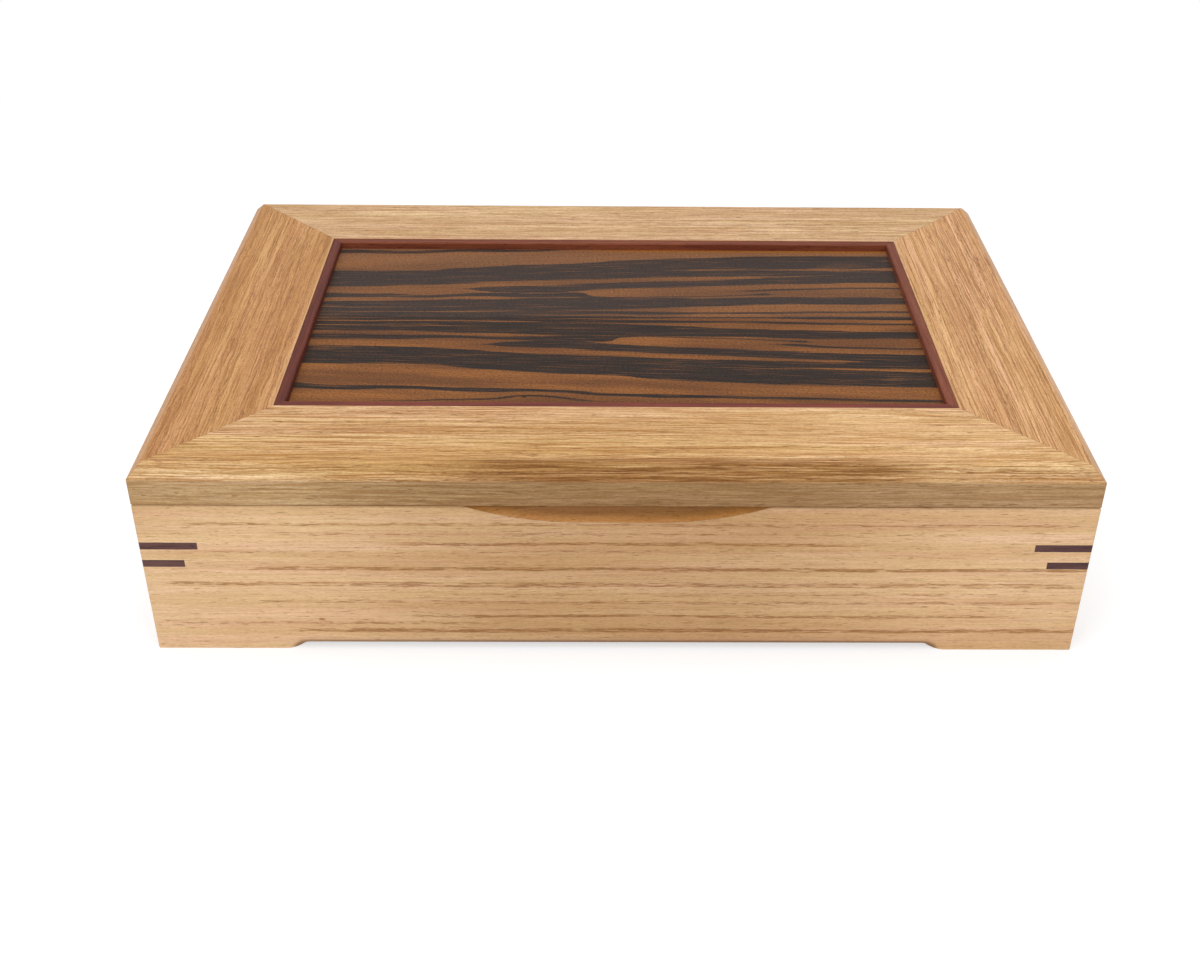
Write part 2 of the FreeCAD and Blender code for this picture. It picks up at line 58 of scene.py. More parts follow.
# Places in the lid, from the frame. The bevel round its upper edge is 5 mm high.
LID_LOW, LID_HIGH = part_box("lid_left_rail")[0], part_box("lid_right_rail")[1]
MIDDLE_Y = (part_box("lid_front_rail")[0].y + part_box("lid_back_rail")[1].y) / 2 / MM
HALF_WIDTH = LID_HIGH.x / MM
HALF_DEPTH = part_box("lid_back_rail")[1].y / MM - MIDDLE_Y
RAIL_WIDTH = (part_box("lid_front_rail")[1].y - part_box("lid_front_rail")[0].y) / MM
LID_FRONT, LID_BOTTOM, LID_TOP = LID_LOW.y / MM, LID_LOW.z / MM, LID_HIGH.z / MM
BEVEL_FOOT = LID_TOP - 5.0

WHITE = (1, 1, 1, 1)
BLACK = (0, 0, 0)


def srgb(red, green, blue):
    """A colour from its 0 to 255 display values."""
    def linear(value):
        value = value / 255
        return value / 12.92 if value <= 0.04045 else ((value + 0.055) / 1.055) ** 2.4
    return (linear(red), linear(green), linear(blue), 1.0)


def between(first, second, share):
    """Display values at that share of the way from the first colour to the second."""
    return [(1 - share) * a + share * b for a, b in zip(first, second)]


def tint(amount, factors):
    """A colour to multiply by: 1 and that amount of each factor."""
    return (*(1 + amount * factor for factor in factors), 1)


class Tree:
    """The nodes of a material or world. Most methods add a node and give its output socket."""

    def __init__(self, owner):
        owner.use_nodes = True
        self.owner = owner
        self.nodes = owner.node_tree.nodes
        self.links = owner.node_tree.links

    def set(self, socket, value):
        if isinstance(value, bpy.types.NodeSocket):
            self.links.new(value, socket)
        else:
            socket.default_value = value

    def fill(self, node, **values):
        """Set a node's sockets by name, with _ for a space."""
        for name, value in values.items():
            self.set(node.inputs[name.replace("_", " ")], value)
        return node

    def node(self, kind, *values, **settings):
        node = self.nodes.new("ShaderNode" + kind)
        for key, value in settings.items():
            setattr(node, key, value)
        for socket, value in zip(node.inputs, values):
            self.set(socket, value)
        return node

    # Numbers
    def math(self, operation, first, second=0.0):
        return self.node("Math", first, second, operation=operation).outputs[0]

    def add(self, first, second):
        return self.math("ADD", first, second)

    def minus(self, first, second):
        return self.math("SUBTRACT", first, second)

    def times(self, first, *others):
        for other in others:
            first = self.math("MULTIPLY", first, other)
        return first

    def distance(self, first, second):
        return self.math("ABSOLUTE", self.minus(first, second))

    def span(self, value, low, high, to_low=0.0, to_high=1.0):
        """value from low..high, smoothly and held at the ends, to to_low..to_high."""
        return self.node("MapRange", value, low, high, to_low, to_high,
                         interpolation_type="SMOOTHSTEP").outputs[0]

    def near(self, value, centre, half, soft):
        """1 where value is within half of centre, fading over soft."""
        return self.span(self.distance(value, centre), half, half + soft, 1.0, 0.0)

    def moved(self, value, noise, amount):
        """value moved to both sides by noise, by half of amount at most."""
        return self.add(value, self.times(self.minus(noise, 0.5), amount))

    # Colours
    def mix(self, factor, first, second, blend="MIX"):
        node = self.node("Mix", data_type="RGBA", blend_type=blend)
        # This node's sockets for colours share their names with others
        self.set(node.inputs["Factor"], factor)
        self.set(node.inputs[6], first)
        self.set(node.inputs[7], second)
        return node.outputs[2]

    def multiply(self, first, second):
        return self.mix(1.0, first, second, "MULTIPLY")

    def blend(self, colour, mask, strength, towards):
        """The colour gone over to another by that strength, where the mask is 1."""
        return self.mix(self.times(mask, strength), colour, srgb(*towards))

    def shade(self, colour, mask, factor):
        """The colour times a factor for red, green and blue, where the mask is 1."""
        return self.multiply(colour, self.mix(mask, WHITE, (*factor, 1)))

    # Patterns
    def place(self):
        """The point's x, y and z in the object's own frame, in millimetres."""
        point = self.node("TexCoord").outputs["Object"]
        scaled = self.fill(self.node("VectorMath", point, operation="SCALE"), Scale=1 / MM)
        return list(self.node("SeparateXYZ", scaled.outputs[0]).outputs)

    def vector(self, first, second, third):
        return self.node("CombineXYZ", first, second, third).outputs[0]

    def noise(self, point, detail, roughness=0.5, distortion=0.0):
        return self.fill(
            self.node("TexNoise"), Vector=point, Scale=1.0,
            Detail=detail, Roughness=roughness, Distortion=distortion).outputs[0]

    def pattern(self, point, sizes, detail, roughness=0.5, distortion=0.0):
        """Noise with features of about those sizes along the three parts of the point."""
        parts = [self.times(part, 1 / size) for part, size in zip(point, sizes)]
        return self.noise(self.vector(*parts), detail, roughness, distortion)

    # Surface
    def bump(self, height, depth, strength):
        """Relief of that depth, in millimetres."""
        node = self.fill(self.node("Bump"), Strength=strength, Distance=depth * MM, Height=height)
        self.set(self.nodes["Principled BSDF"].inputs["Normal"], node.outputs[0])

    def finish(self, **values):
        self.fill(self.nodes["Principled BSDF"], **values)
        return self.owner


def new_tree(name):
    return Tree(bpy.data.materials.new(name))


# Wood
ROW_SOFT, ROW_FADE = 0.7, 22.0


class Grain:
    """Coordinates of a board: along its grain, across its face, and into it.

    slope leans the growth rings with the depth, sway and ripple bend them slowly and quickly.
    """

    def __init__(self, tree, point, axes, seed, slope, sway, ripple):
        self.tree = tree
        self.seed = seed
        self.along, across, self.depth = (point["xyz".index(axis)] for axis in axes)
        self.across = tree.add(across, tree.times(self.depth, slope))
        slow = self.streaks(80, 26, 0.3, 1)
        quick = self.streaks(13, 3.2, 0.6, 2)
        self.across = tree.moved(self.across, slow, 2 * sway)
        self.across = tree.moved(self.across, quick, 2 * ripple)

    def streaks(self, length, width, shift, detail=2.0, roughness=0.5):
        """Noise drawn out to streaks of about that length and width.

        Each seed, and each shift within a board, is another part of the noise.
        """
        tree = self.tree
        return tree.noise(tree.vector(
            tree.add(tree.times(self.along, 1 / length), self.seed * 3.1 + shift),
            tree.add(tree.times(self.across, 1 / width), self.seed * 11.7 + shift * 5.3),
            tree.times(self.depth, 0.35 / width)), detail, roughness)

    def row(self, place, half, strength, start, end):
        """A row of pores along the board, between start and end."""
        tree = self.tree
        here = tree.near(self.across, place, half, ROW_SOFT)
        reach = tree.near(self.along, (start + end) / 2, (end - start) / 2, ROW_FADE)
        return tree.times(here, reach, strength)


# Dark fibres and flecks of oak are warmer than the ground, pale ones cooler
FIBRE_DARK, FIBRE_PALE = (0.16, 0.19, 0.23), (0.1, 0.14, 0.2)
FLECK = (0.85, 1.0, 1.15)
DRIFT_PINK, DRIFT_YELLOW = (1.02, 0.99, 1.02, 1), (1.0, 1.0, 0.92, 1)


def oak(name, axes, seed, colours, slope=0.35, sway=1.0, ripple=0.5, band=0.5, line=0.5,
        dash=0.55, crisp=1.0, fleck_depth=0.12, rows=(), figure=None):
    """Oak, whose axes say which of x, y and z run along, across and into the board.

    colours are the pale and the warm ground and the dark streaks. band, line and dash are the
    strengths of broad bands, thin lines and short pores, crisp and fleck_depth those of fibres and
    flecks. rows are rows of pores, and figure adds what this board alone has.
    """
    tree = new_tree(name)
    point = tree.place()
    grain = Grain(tree, point, axes, seed, slope, sway, ripple)
    pale, warm, dark = colours
    broad = tree.span(grain.streaks(200, 10, 1), 0.38, 0.62)
    bands = tree.span(grain.streaks(130, 2.3, 2, 2, 0.6), 0.42, 0.66)
    lines = tree.span(grain.streaks(38, 0.62, 3, 2, 0.6), 0.44, 0.64)
    fibre = grain.streaks(12, 0.25, 4, 2, 0.7)
    speck = grain.streaks(1.4, 0.4, 7, 1, 0.6)
    # Where rows are given, few pores lie outside them
    thick = tree.span(grain.streaks(110, 1.3, 6, 1), 0.5, 0.66, 0.0, 0.15 if rows else 0.5)
    for row in rows:
        thick = tree.math("MAXIMUM", thick, grain.row(*row))
    stain = tree.times(thick, tree.span(grain.streaks(15, 0.9, 8, 1), 0.36, 0.6))
    short = tree.add(grain.streaks(5.5, 0.4, 5, 2, 0.6), tree.times(thick, 0.17))
    pores = tree.span(short, 0.62 if rows else 0.61, 0.72)
    colour = tree.mix(broad, srgb(*pale), srgb(*warm))
    colour = tree.blend(colour, bands, band, between(warm, dark, 0.2))
    colour = tree.blend(colour, lines, line, between(warm, dark, 0.65))
    colour = tree.blend(colour, stain, 0.5, dark)
    colour = tree.blend(colour, pores, dash, between(BLACK, dark, 0.84))
    drift = tree.span(grain.streaks(120, 4.5, 10), 0.35, 0.65)
    colour = tree.multiply(colour, tree.mix(drift, DRIFT_PINK, DRIFT_YELLOW))
    for noise, depth, darker, paler in (
            (fibre, crisp, FIBRE_DARK, FIBRE_PALE), (speck, fleck_depth, FLECK, FLECK)):
        shades = tree.mix(tree.span(noise, 0.25, 0.75), tint(-depth, darker), tint(depth, paler))
        colour = tree.multiply(colour, shades)
    if figure:
        colour = figure(tree, point, grain, colour)
    tree.bump(tree.minus(tree.times(fibre, 0.3), pores), 0.1, 0.5)
    return tree.finish(
        Base_Color=colour,
        Roughness=tree.span(fibre, 0.2, 0.8, 0.5, 0.62),
        Specular_IOR_Level=0.2)


# What single boards have, and painted shade on them: factors for red, green and blue, and places
# Painted shade in the middle of the front boards
MIDDLE_SHADE_PAINTED = (0.78, 0.74, 0.67)
# Painted shade in the seam between lid and body
BODY_SEAM_SHADE, LID_SEAM_SHADE = (0.45, 0.42, 0.4), (0.5, 0.46, 0.42)
RAW_CUT = (1.15, 0.93, 0.58)
# Painted shade in the scoop, near the rim under the lid and deep in it, and on the rounded bottom
# edge
RIM_SHADE, INNER_SHADE, UNDER_SHADE = (0.72, 0.68, 0.66), (0.5, 0.49, 0.5), (0.5, 0.43, 0.36)
KNOT_X, KNOT_Z = -114.5, 14.5
SCOOP_HALF_WIDTH = 57.0
SCOOP_DEPTH = 7.2
UNDERSIDE_TOP = 6.2


def middle_shade_painted(tree, x, colour):
    """Painted shade: the middle of the front boards is a little darker than their ends, as less
    light falls there.
    """
    return tree.shade(colour, tree.near(x, 5.0, 30.0, 115.0), MIDDLE_SHADE_PAINTED)


def front_figure(tree, point, grain, colour):
    """Front side: painted shade in its middle, a small knot, painted shade in the seam at the rim,
    the raw wood of the finger scoop with painted shade near the rim and deep in it, and painted
    shade on the rounded bottom edge.
    """
    x, y, z = point
    low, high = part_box("front_side")
    front, rim = low.y / MM, high.z / MM
    # Painted shade in the middle of the board
    colour = middle_shade_painted(tree, x, colour)
    knot = tree.times(tree.near(x, KNOT_X, 0.5, 1.2), tree.near(z, KNOT_Z, 0.1, 0.8))
    colour = tree.blend(colour, knot, 0.8, (150, 92, 48))
    face = tree.span(y, front + 0.3, front + 0.2)
    # Painted shade in the seam below the lid
    colour = tree.shade(colour, tree.times(tree.span(z, rim - 0.45, rim - 0.1), face), BODY_SEAM_SHADE)
    cut = tree.times(
        tree.span(y, front + 0.15, front + 0.6),
        tree.near(x, 0.0, SCOOP_HALF_WIDTH, 0.5),
        tree.span(z, rim - SCOOP_DEPTH, rim - SCOOP_DEPTH + 0.3))
    colour = tree.shade(colour, cut, RAW_CUT)
    # Painted shade in the scoop, near the rim under the lid and deeper in
    colour = tree.shade(colour, tree.times(cut, tree.span(z, rim - 3.0, rim - 0.4)), RIM_SHADE)
    inner = tree.span(y, front + 1.2, front + 5.0)
    colour = tree.shade(colour, tree.times(cut, inner), INNER_SHADE)
    # Painted shade on the rounded bottom edge, which turns down away from the light
    low_edge = tree.span(z, UNDERSIDE_TOP, UNDERSIDE_TOP - 0.8)
    under = tree.times(tree.span(y, front + 0.1, front + 1.0), low_edge)
    return tree.shade(colour, under, UNDER_SHADE)


def lid_frame(tree, point, grain, colour):
    """A faint line at each mitre, and a painted highlight along the edge round the opening."""
    x_in = tree.minus(HALF_WIDTH, tree.math("ABSOLUTE", point[0]))
    y_in = tree.minus(HALF_DEPTH, tree.distance(point[1], MIDDLE_Y))
    colour = tree.blend(colour, tree.near(x_in, y_in, 0.1, 0.25), 0.3, (120, 78, 42))
    inner = tree.math("MINIMUM", x_in, y_in)
    # Painted highlight along the edge round the opening, paler there
    edge_highlight = tree.span(inner, RAIL_WIDTH - 1.0, RAIL_WIDTH - 0.4)
    return tree.blend(colour, edge_highlight, 0.3, (236, 198, 150))


def side_rail(tree, point, grain, colour):
    """A side rail of the lid, with a painted reflection of the bright surroundings on its bevel,
    which makes it pinker there.
    """
    z = point[2]
    bevel = tree.times(
        tree.span(z, LID_TOP - 0.2, LID_TOP - 0.7),
        tree.span(z, BEVEL_FOOT - 0.4, BEVEL_FOOT + 0.2))
    # Painted reflection on the bevel: paler and pinker there
    return lid_frame(tree, point, grain, tree.blend(colour, bevel, 0.4, (208, 166, 130)))


def front_rail(tree, point, grain, colour):
    """Front rail of the lid: greyer on its face, with dark heartwood on the middle of the bevel,
    painted shade on the bevel, in the middle of the face and at the seam, and a painted highlight
    on the left end of the bevel.
    """
    x, y, z = point
    upper = tree.span(z, BEVEL_FOOT - 0.3, BEVEL_FOOT + 0.3)
    face = tree.times(tree.minus(1.0, upper), tree.span(y, LID_FRONT + 0.4, LID_FRONT + 0.2))
    bevel = tree.times(tree.span(z, LID_TOP - 0.1, LID_TOP - 0.5), upper)

    # Top and bevel
    near_edge = tree.times(tree.span(y, LID_FRONT + 27.5, LID_FRONT + 15.5), upper)
    yellow = tree.times(near_edge, tree.span(x, 40.0, 130.0, 1.0, 0.35))
    colour = tree.shade(colour, yellow, (0.97, 0.96, 0.84))
    # Painted shade on the bevel, which faces away from the top light
    colour = tree.shade(colour, bevel, (0.84, 0.83, 0.82))
    streak = tree.span(grain.streaks(45, 0.9, 9, 3, 0.65), 0.38, 0.58)
    heart = tree.times(
        tree.near(x, 25.0, 60.0, 45.0),
        tree.add(tree.times(streak, 0.75), 0.25),
        tree.span(y, LID_FRONT + 10.0, LID_FRONT + 6.0), upper)
    colour = tree.shade(colour, heart, (0.44, 0.32, 0.16))
    thin = tree.times(tree.span(grain.streaks(30, 0.5, 12, 2, 0.6), 0.5, 0.66), upper, 0.6)
    colour = tree.shade(colour, thin, (0.8, 0.72, 0.6))
    # Painted highlight on the left end of the bevel
    bevel_highlight_left = tree.times(bevel, tree.span(x, -95.0, -135.0))
    colour = tree.shade(colour, bevel_highlight_left, (1.2, 1.31, 1.58))
    right_part = tree.times(
        tree.span(x, 20.0, 110.0), upper, tree.span(bevel, 0.0, 1.0, 1.0, 0.3))
    colour = tree.shade(colour, right_part, (1.2, 1.29, 1.46))

    # Face
    colour = tree.blend(colour, face, 0.35, (206, 166, 118))
    colour = tree.shade(colour, face, (0.66, 0.67, 0.67))
    left_face = tree.times(face, tree.span(x, -80.0, -120.0))
    colour = tree.shade(colour, left_face, (1.12, 1.13, 1.15))
    # Painted shade in the middle of the face
    colour = tree.mix(face, colour, middle_shade_painted(tree, x, colour))
    # Painted shade at the seam under the lid
    seam = tree.times(tree.span(z, LID_BOTTOM + 0.45, LID_BOTTOM + 0.1), face)
    return lid_frame(tree, point, grain, tree.shade(colour, seam, LID_SEAM_SHADE))


def fine_wood(name, axes, seed, base, light, dark, rough=0.46):
    """A close-grained wood, for trim, keys, tongues and hidden boards."""
    tree = new_tree(name)
    grain = Grain(tree, tree.place(), axes, seed, 0.3, 0.4, 0.2)
    broad = tree.span(grain.streaks(60, 2.2, 1), 0.35, 0.65)
    fine = grain.streaks(18, 0.35, 2, 2, 0.7)
    pores = tree.span(grain.streaks(4, 0.22, 3, 1), 0.6, 0.72)
    colour = tree.mix(broad, srgb(*base), srgb(*light))
    colour = tree.mix(tree.span(fine, 0.45, 0.75, 0.0, 0.6), colour, srgb(*dark))
    colour = tree.blend(colour, pores, 0.5, between(BLACK, dark, 0.6))
    tree.bump(tree.minus(tree.times(fine, 0.3), pores), 0.08, 0.5)
    return tree.finish(
        Base_Color=colour,
        Roughness=tree.span(fine, 0.2, 0.8, rough - 0.04, rough + 0.08),
        Specular_IOR_Level=0.12)


# Striped ebony of the lid panel: one half of the figure, which the other half mirrors.
# Each dark streak is given by knots (x, distance from the joint, half its width), in mm.
PANEL_JOINT_Y = 2.1
STREAKS = [
    [(-134, 0.2, 0.6), (-60, 0.6, 1.4), (-10, 0.3, 1.0), (40, 0.0, 0.4), (80, 0.0, 0.8),
     (134, 0.0, 1.6)],
    [(-134, 2.6, 1.0), (-60, 2.6, 1.2), (-20, 3.6, 1.7), (20, 4.0, 1.3), (60, 4.2, 0.8),
     (100, 5.4, 0.8), (134, 6.0, 0.6)],
    [(-134, 6.4, 1.6), (-90, 6.2, 1.9), (-50, 7.4, 2.2), (-10, 8.4, 2.4), (30, 9.6, 1.2),
     (60, 11, 0.2)],
    [(-134, 11.2, 2.2), (-90, 11.4, 2.7), (-50, 12.6, 3.2), (0, 13.6, 4.0), (40, 14, 4.0),
     (90, 15.6, 3.4), (134, 16, 3.0)],
    [(-134, 18.8, 2.2), (-90, 19.2, 1.8), (-72, 18.6, 1.2), (-50, 20.2, 1.4), (-20, 19.8, 2.0),
     (-3, 20, 2.4), (2, 18.4, 0.8), (40, 19.4, 0.3), (72, 21.4, 0.4), (80, 22, 0.8), (83, 22, 0.0)],
    [(-57, 26, 0.0), (-48, 25.6, 1.8), (-20, 25.6, 3.8), (2, 28.6, 3.0), (40, 31.4, 3.0),
     (90, 35.2, 3.5), (134, 37.6, 4.1)],
    [(68, 25, 0.1), (76, 25.2, 0.8), (90, 26.6, 0.6), (134, 28.4, 0.6)],
    [(-134, 35, 7.8), (-100, 35.4, 7.6), (-70, 36.8, 6.9), (-40, 38.4, 5.0), (0, 40, 4.4),
     (40, 42, 3.4), (90, 42.6, 2.7), (134, 43.2, 2.6)],
    [(-84, 41, 0.8), (-60, 43.4, 3.0), (-30, 46, 4.2), (10, 47.8, 4.6), (50, 50.6, 4.6),
     (90, 51, 4.2), (134, 52, 3.9)],
    [(0, 52.2, 0.2), (14, 53, 1.8), (50, 56, 2.0), (90, 57.4, 2.6), (134, 58.4, 2.8)],
    [(-134, 60.6, 1.9), (-118, 62.8, 1.8), (-84, 62.6, 1.5), (-60, 64.6, 1.4), (-24, 65, 1.0),
     (0, 68, 1.2), (60, 70, 0.9), (134, 72.4, 0.8)],
    [(-70, 73, 0.4), (-50, 71.6, 0.6), (-34, 69, 0.5), (-14, 72.6, 0.8), (-10, 73, 0.3)],
]
STREAK_REACH = 130.0                # streaks with knots beyond this run out of the panel
X_LOW, X_LENGTH = -140.0, 300.0     # range of x that the curves cover
AWAY_SPAN = 80.0                    # largest distance from the joint
HALF_SPAN = 10.0                    # largest half width
CLOSED = -1.0                       # half width where there is no streak
BEHIND_SHIFT, BEHIND_NARROWER = 12.0, -0.06


def curve(tree, along, knots):
    """A smooth curve through knots (x, value from 0 to 1), read at a place along the panel."""
    knots = [((x - X_LOW) / X_LENGTH, value) for x, value in knots]
    node = tree.fill(tree.node("FloatCurve"), Value=along)
    line = node.mapping.curves[0]
    for position, value in knots[1:-1]:
        line.points.new(position, value)
    points = sorted(line.points, key=lambda point: point.location[0])
    for point, knot in zip(points, knots):
        point.location = knot
    node.mapping.update()
    return node.outputs[0]


def dark_streaks(tree, x, away, feather):
    """1 in the dark streaks, at a distance from the joint, with feathered edges."""
    along = tree.math("DIVIDE", tree.minus(x, X_LOW), X_LENGTH)
    dark = 0.0
    for knots in STREAKS:
        first, last = knots[0], knots[-1]
        start = CLOSED if abs(first[0]) < STREAK_REACH else first[2]
        stop = CLOSED if abs(last[0]) < STREAK_REACH else last[2]
        ends = [(X_LOW, first[1], start), *knots, (X_LOW + X_LENGTH, last[1], stop)]
        middle = curve(tree, along, [(knot[0], knot[1] / AWAY_SPAN) for knot in ends])
        half = curve(tree, along, [(knot[0], 0.5 + knot[2] / (2 * HALF_SPAN)) for knot in ends])
        gap = tree.distance(away, tree.times(middle, AWAY_SPAN))
        reach = tree.times(tree.minus(half, 0.5), 2 * HALF_SPAN)
        loose = tree.times(feather, tree.span(reach, 0.5, 3.0, 0.12, 1.0))
        mask = tree.span(tree.add(tree.minus(reach, gap), loose), -0.5, 0.3)
        dark = tree.math("MAXIMUM", dark, mask)
    return dark


def ebony(name):
    tree = new_tree(name)
    x, y, _ = tree.place()
    from_joint = tree.minus(y, PANEL_JOINT_Y)
    behind = tree.math("GREATER_THAN", from_joint, 0.0)
    # The half behind the joint is a little shifted and narrower, and has its own fine grain
    x = tree.add(x, tree.times(behind, BEHIND_SHIFT))
    narrower = tree.add(1.0, tree.times(behind, BEHIND_NARROWER))
    away = tree.times(tree.math("ABSOLUTE", from_joint), narrower)
    side = tree.times(behind, 40.0)
    # The figure widens to the right, so the finer grain follows it
    spread = tree.add(1.0, tree.times(tree.add(x, 134.0), 0.0011))
    spot = (x, tree.math("DIVIDE", away, spread), side)
    wander = tree.pattern(spot, (38, 7, 1), 2.0, 0.6)
    fine = tree.pattern(spot, (60, 0.75, 1), 3.0, 0.65)
    hair = tree.pattern(spot, (45, 0.28, 1), 2.0, 0.6)
    thread = tree.pattern(spot, (34, 0.5, 1), 2.0, 0.6)
    tone = tree.pattern(spot, (90, 12, 1), 2.0)
    grit = tree.pattern((x, away, side), (1.1, 0.7, 1), 2.0, 0.7)
    dots = tree.pattern((x, away, side), (3.5, 0.22, 1), 1.0)

    swayed = tree.moved(tree.moved(away, wander, 2.2), fine, 0.9)
    feather = tree.times(tree.minus(thread, 0.5), 4.0)
    dark = dark_streaks(tree, x, swayed, feather)
    # Thin pale streaks in the dark, thin dark ones in the brown, most of them near the joint
    near_joint = tree.span(away, 14.0, 24.0, 1.0, 0.0)
    pale = tree.span(thread, 0.42, 0.34)
    dark = tree.times(dark, tree.minus(1.0, tree.times(pale, 0.65)))
    left = tree.times(near_joint, tree.span(x, 10.0, -60.0))
    veins = tree.times(
        tree.span(tree.add(hair, tree.times(left, 0.07)), 0.56, 0.68),
        tree.add(0.3, tree.times(near_joint, 0.35)))
    dark = tree.math("MAXIMUM", dark, veins)

    brown = tree.mix(tree.span(tone, 0.35, 0.65), srgb(112, 72, 44), srgb(152, 98, 54))
    # Painted reflection of the bright surroundings: the half behind the joint paler, most of all
    # far from the joint
    outer_behind = tree.times(tree.span(away, 44.0, 60.0), behind)
    brown = tree.blend(brown, outer_behind, 0.6, (148, 103, 72))
    brown = tree.mix(tree.span(fine, 0.35, 0.62, 0.0, 0.35), brown, srgb(106, 69, 48))
    # Painted reflection on the half behind the joint, paler and greyer
    brown = tree.blend(brown, behind, 0.3, (116, 86, 66))
    deep = tree.mix(tree.span(hair, 0.4, 0.7), srgb(44, 36, 33), srgb(64, 53, 47))
    # Painted reflection: the dark streaks behind the joint lifted paler and greyer
    deep = tree.blend(deep, behind, 0.35, (78, 66, 62))
    colour = tree.mix(dark, brown, deep)
    # A knot at the front edge, and at the back edge a warm orange band that is a painted reflection
    # of the back trim's lit inner face
    knot = tree.times(
        tree.near(x, -37.0, 0.3, 0.9), tree.near(y, PANEL_JOINT_Y - 70.0, 0.2, 0.8))
    colour = tree.mix(knot, colour, srgb(44, 32, 28))
    # Painted reflection of the back trim's lit inner face
    edge = tree.times(tree.span(y, 69.8, 70.8), tree.span(x, -20.0, 30.0))
    colour = tree.blend(colour, edge, 0.8, (150, 92, 34))
    light = tree.span(grit, 0.25, 0.75, 0.62, 1.38)
    colour = tree.multiply(colour, tree.vector(light, light, light))
    pores = tree.span(dots, 0.6, 0.72)
    colour = tree.blend(colour, pores, 0.4, (40, 30, 28))
    tree.bump(tree.minus(tree.times(hair, 0.25), pores), 0.05, 0.4)
    return tree.finish(
        Base_Color=colour,
        Roughness=tree.span(hair, 0.2, 0.8, 0.44, 0.54),
        Specular_IOR_Level=0.04)


# Brass and suede
def brass(name):
    tree = new_tree(name)
    point = tree.place()
    brushed = tree.pattern(point, (9, 0.12, 0.12), 3.0, 0.6)
    stain = tree.pattern(point, (7, 5, 5), 3.0)
    tree.bump(brushed, 0.02, 0.5)
    return tree.finish(
        Base_Color=tree.mix(tree.span(stain, 0.4, 0.7), srgb(200, 168, 108), srgb(188, 154, 96)),
        Metallic=1.0,
        Roughness=tree.span(brushed, 0.3, 0.7, 0.28, 0.4))


def suede(name):
    tree = new_tree(name)
    point = tree.place()
    nap = tree.pattern(point, (30, 22, 1), 2.0, 0.5, 0.2)
    hairs = tree.pattern(point, (0.5, 0.5, 0.5), 3.0, 0.7)
    colour = tree.mix(tree.span(nap, 0.35, 0.65), srgb(82, 54, 40), srgb(93, 62, 47))
    colour = tree.mix(tree.span(hairs, 0.35, 0.75, 0.0, 0.55), colour, srgb(50, 31, 23))
    tree.bump(hairs, 0.2, 0.7)
    return tree.finish(
        Base_Color=colour,
        Roughness=0.95,
        Sheen_Weight=0.2,
        Sheen_Roughness=0.45,
        Specular_IOR_Level=0.2)


# Materials of the pieces
def give(material, name):
    slots = NODES[name].data.materials
    slots.clear()
    slots.append(material)


give(oak("oak_lid_front", "xyz", 1, ((231, 192, 145), (213, 169, 119), (164, 110, 52)),
         slope=0.5, band=0.6, line=1.0, dash=0.85, crisp=1.85, fleck_depth=0.14,
         figure=front_rail), "lid_front_rail")
give(oak("oak_lid_back", "xyz", 2, ((231, 195, 154), (212, 174, 132), (168, 119, 70)),
         slope=0.4, sway=0.8, band=0.7, line=1.0, dash=0.8, crisp=1.9, fleck_depth=0.17,
         figure=lid_frame), "lid_back_rail")
give(oak("oak_lid_left", "yxz", 3, ((208, 157, 105), (191, 139, 87), (146, 94, 48)),
         slope=0.3, ripple=0.9, band=0.55, line=0.85, dash=0.65, crisp=1.1, fleck_depth=0.15,
         figure=side_rail), "lid_left_rail")
give(oak("oak_lid_right", "yxz", 4, ((230, 181, 133), (212, 163, 112), (152, 101, 54)),
         slope=0.3, sway=0.6, ripple=0.35, band=0.7, line=1.0, dash=0.75, crisp=1.3,
         fleck_depth=0.14, figure=side_rail), "lid_right_rail")

# Rows of pores on the front: height, half width, strength, and where each starts and ends
FRONT_ROWS = [
    (59.5, 0.3, 0.7, -150, 160), (55.2, 0.25, 0.5, -120, 120), (50.6, 0.4, 1.0, -75, 80),
    (47.0, 0.25, 0.4, -160, 40), (39.0, 0.5, 1.1, -130, 170), (31.5, 0.8, 0.8, -160, 165),
    (27.0, 0.25, 0.4, -60, 140), (23.0, 0.35, 0.7, -140, 175), (16.4, 0.35, 1.1, -65, 0),
    (16.2, 0.35, 1.0, 25, 140), (12.8, 0.25, 0.7, -170, -60), (9.2, 0.6, 1.1, -110, 178)]
give(oak("oak_front", "xzy", 5, ((226, 191, 151), (213, 174, 132), (178, 124, 70)),
         slope=0.0, sway=0.6, ripple=0.4, band=0.3, line=0.25, dash=0.72, crisp=0.65,
         fleck_depth=0.08, rows=FRONT_ROWS, figure=front_figure), "front_side")
for side, axes, seed in (("back", "xzy", 6), ("left", "yzx", 7), ("right", "yzx", 8)):
    give(oak("oak_" + side, axes, seed, ((231, 190, 150), (217, 173, 131), (184, 126, 74)),
             slope=0.4, sway=1.4, line=0.42), side + "_side")
give(oak("oak_backing", "xyz", 9, ((222, 184, 138), (210, 168, 118), (172, 122, 74)),
         slope=0.2, sway=2.0), "lid_panel_backing")

